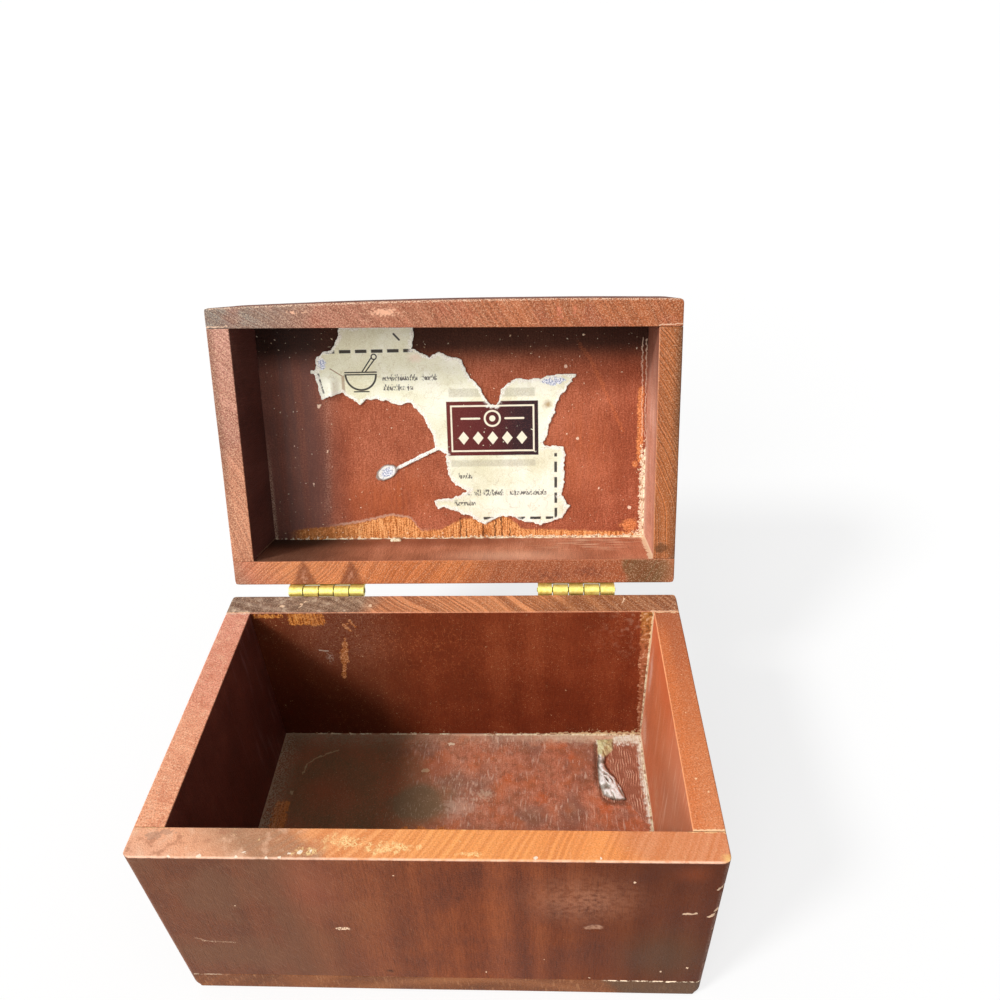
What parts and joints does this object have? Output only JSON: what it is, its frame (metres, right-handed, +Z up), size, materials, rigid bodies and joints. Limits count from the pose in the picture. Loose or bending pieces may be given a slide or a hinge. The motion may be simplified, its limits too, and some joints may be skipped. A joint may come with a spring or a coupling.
{
  "type": "recipe card box",
  "caption": "Small stained wooden box for recipe cards, with butt-jointed boards and a deep lid on brass hinges, standing open.",
  "frame": {"origin": "middle of the base's underside", "axes": "+Z up, -Y towards the front of the base, +X towards the right end; the hinge pins lie along X behind the back"},
  "size_m": [0.152, 0.1628, 0.164],
  "materials": {
    "stained_wood": "worn satin stain",
    "worn_brass": "dull, handled",
    "old_paper": "matte, torn and creased"
  },
  "bodies": {
    "base": {"base_front_board": "stained_wood", "base_back_board": "stained_wood", "base_left_board": "stained_wood", "base_right_board": "stained_wood", "base_bottom_board": "stained_wood", "left_hinge_base_leaf": "worn_brass", "left_hinge_base_screws": "worn_brass", "right_hinge_base_leaf": "worn_brass", "right_hinge_base_screws": "worn_brass"},
    "lid": {"lid_front_rail": "stained_wood", "lid_back_rail": "stained_wood", "lid_left_rail": "stained_wood", "lid_right_rail": "stained_wood", "lid_top_panel": "stained_wood", "left_hinge_lid_leaf": "worn_brass", "left_hinge_pin": "worn_brass", "left_hinge_lid_screws": "worn_brass", "right_hinge_lid_leaf": "worn_brass", "right_hinge_pin": "worn_brass", "right_hinge_lid_screws": "worn_brass", "pasted_clipping": "old_paper"}
  },
  "joints": [
    {"name": "lid_hinge", "type": "hinge", "parent": "base", "child": "lid", "pos_m": [0, 0.0497, 0.07365], "axis": [-1, 0, 0], "range_deg": [-111, 74]}
  ]
}
